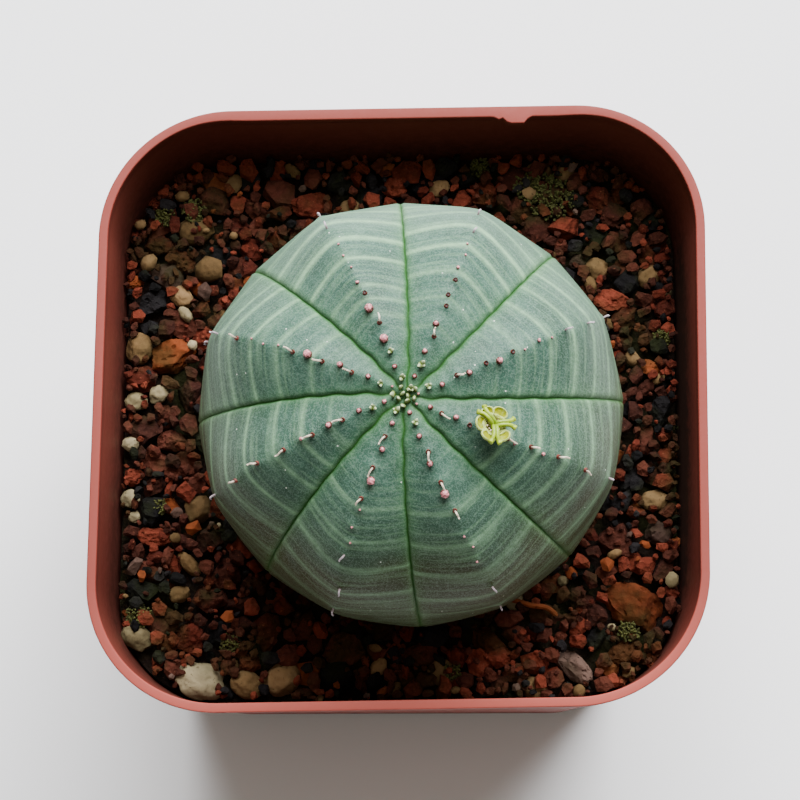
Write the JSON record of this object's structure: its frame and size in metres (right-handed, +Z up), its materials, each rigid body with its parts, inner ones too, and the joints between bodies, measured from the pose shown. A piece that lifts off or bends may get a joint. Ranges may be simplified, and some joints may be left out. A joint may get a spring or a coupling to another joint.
{
  "type": "potted round succulent",
  "caption": "Ball-shaped ribbed succulent with rows of tiny buds and a small yellow-green flower, growing in coarse grit in a square tapered plastic pot.",
  "frame": {"origin": "middle of the pot's base, on the surface that the pot stands on", "axes": "+Z up, +X to the right and -Y towards the viewer of the reference picture, along the pot's sides"},
  "size_m": [0.0706, 0.0706, 0.0923],
  "materials": {
    "pot_plastic": "satin moulded polypropylene, terracotta coloured",
    "grit": "rough mix of lava, fired clay and pumice grit",
    "plant_skin": "matt waxy living skin, banded grey-green",
    "flower_flesh": "soft moist living flower, yellow-green"
  },
  "bodies": {
    "root": {"pot": "pot_plastic", "gritty_soil": "grit", "plant": "plant_skin", "flower": "flower_flesh"}
  },
  "joints": []
}
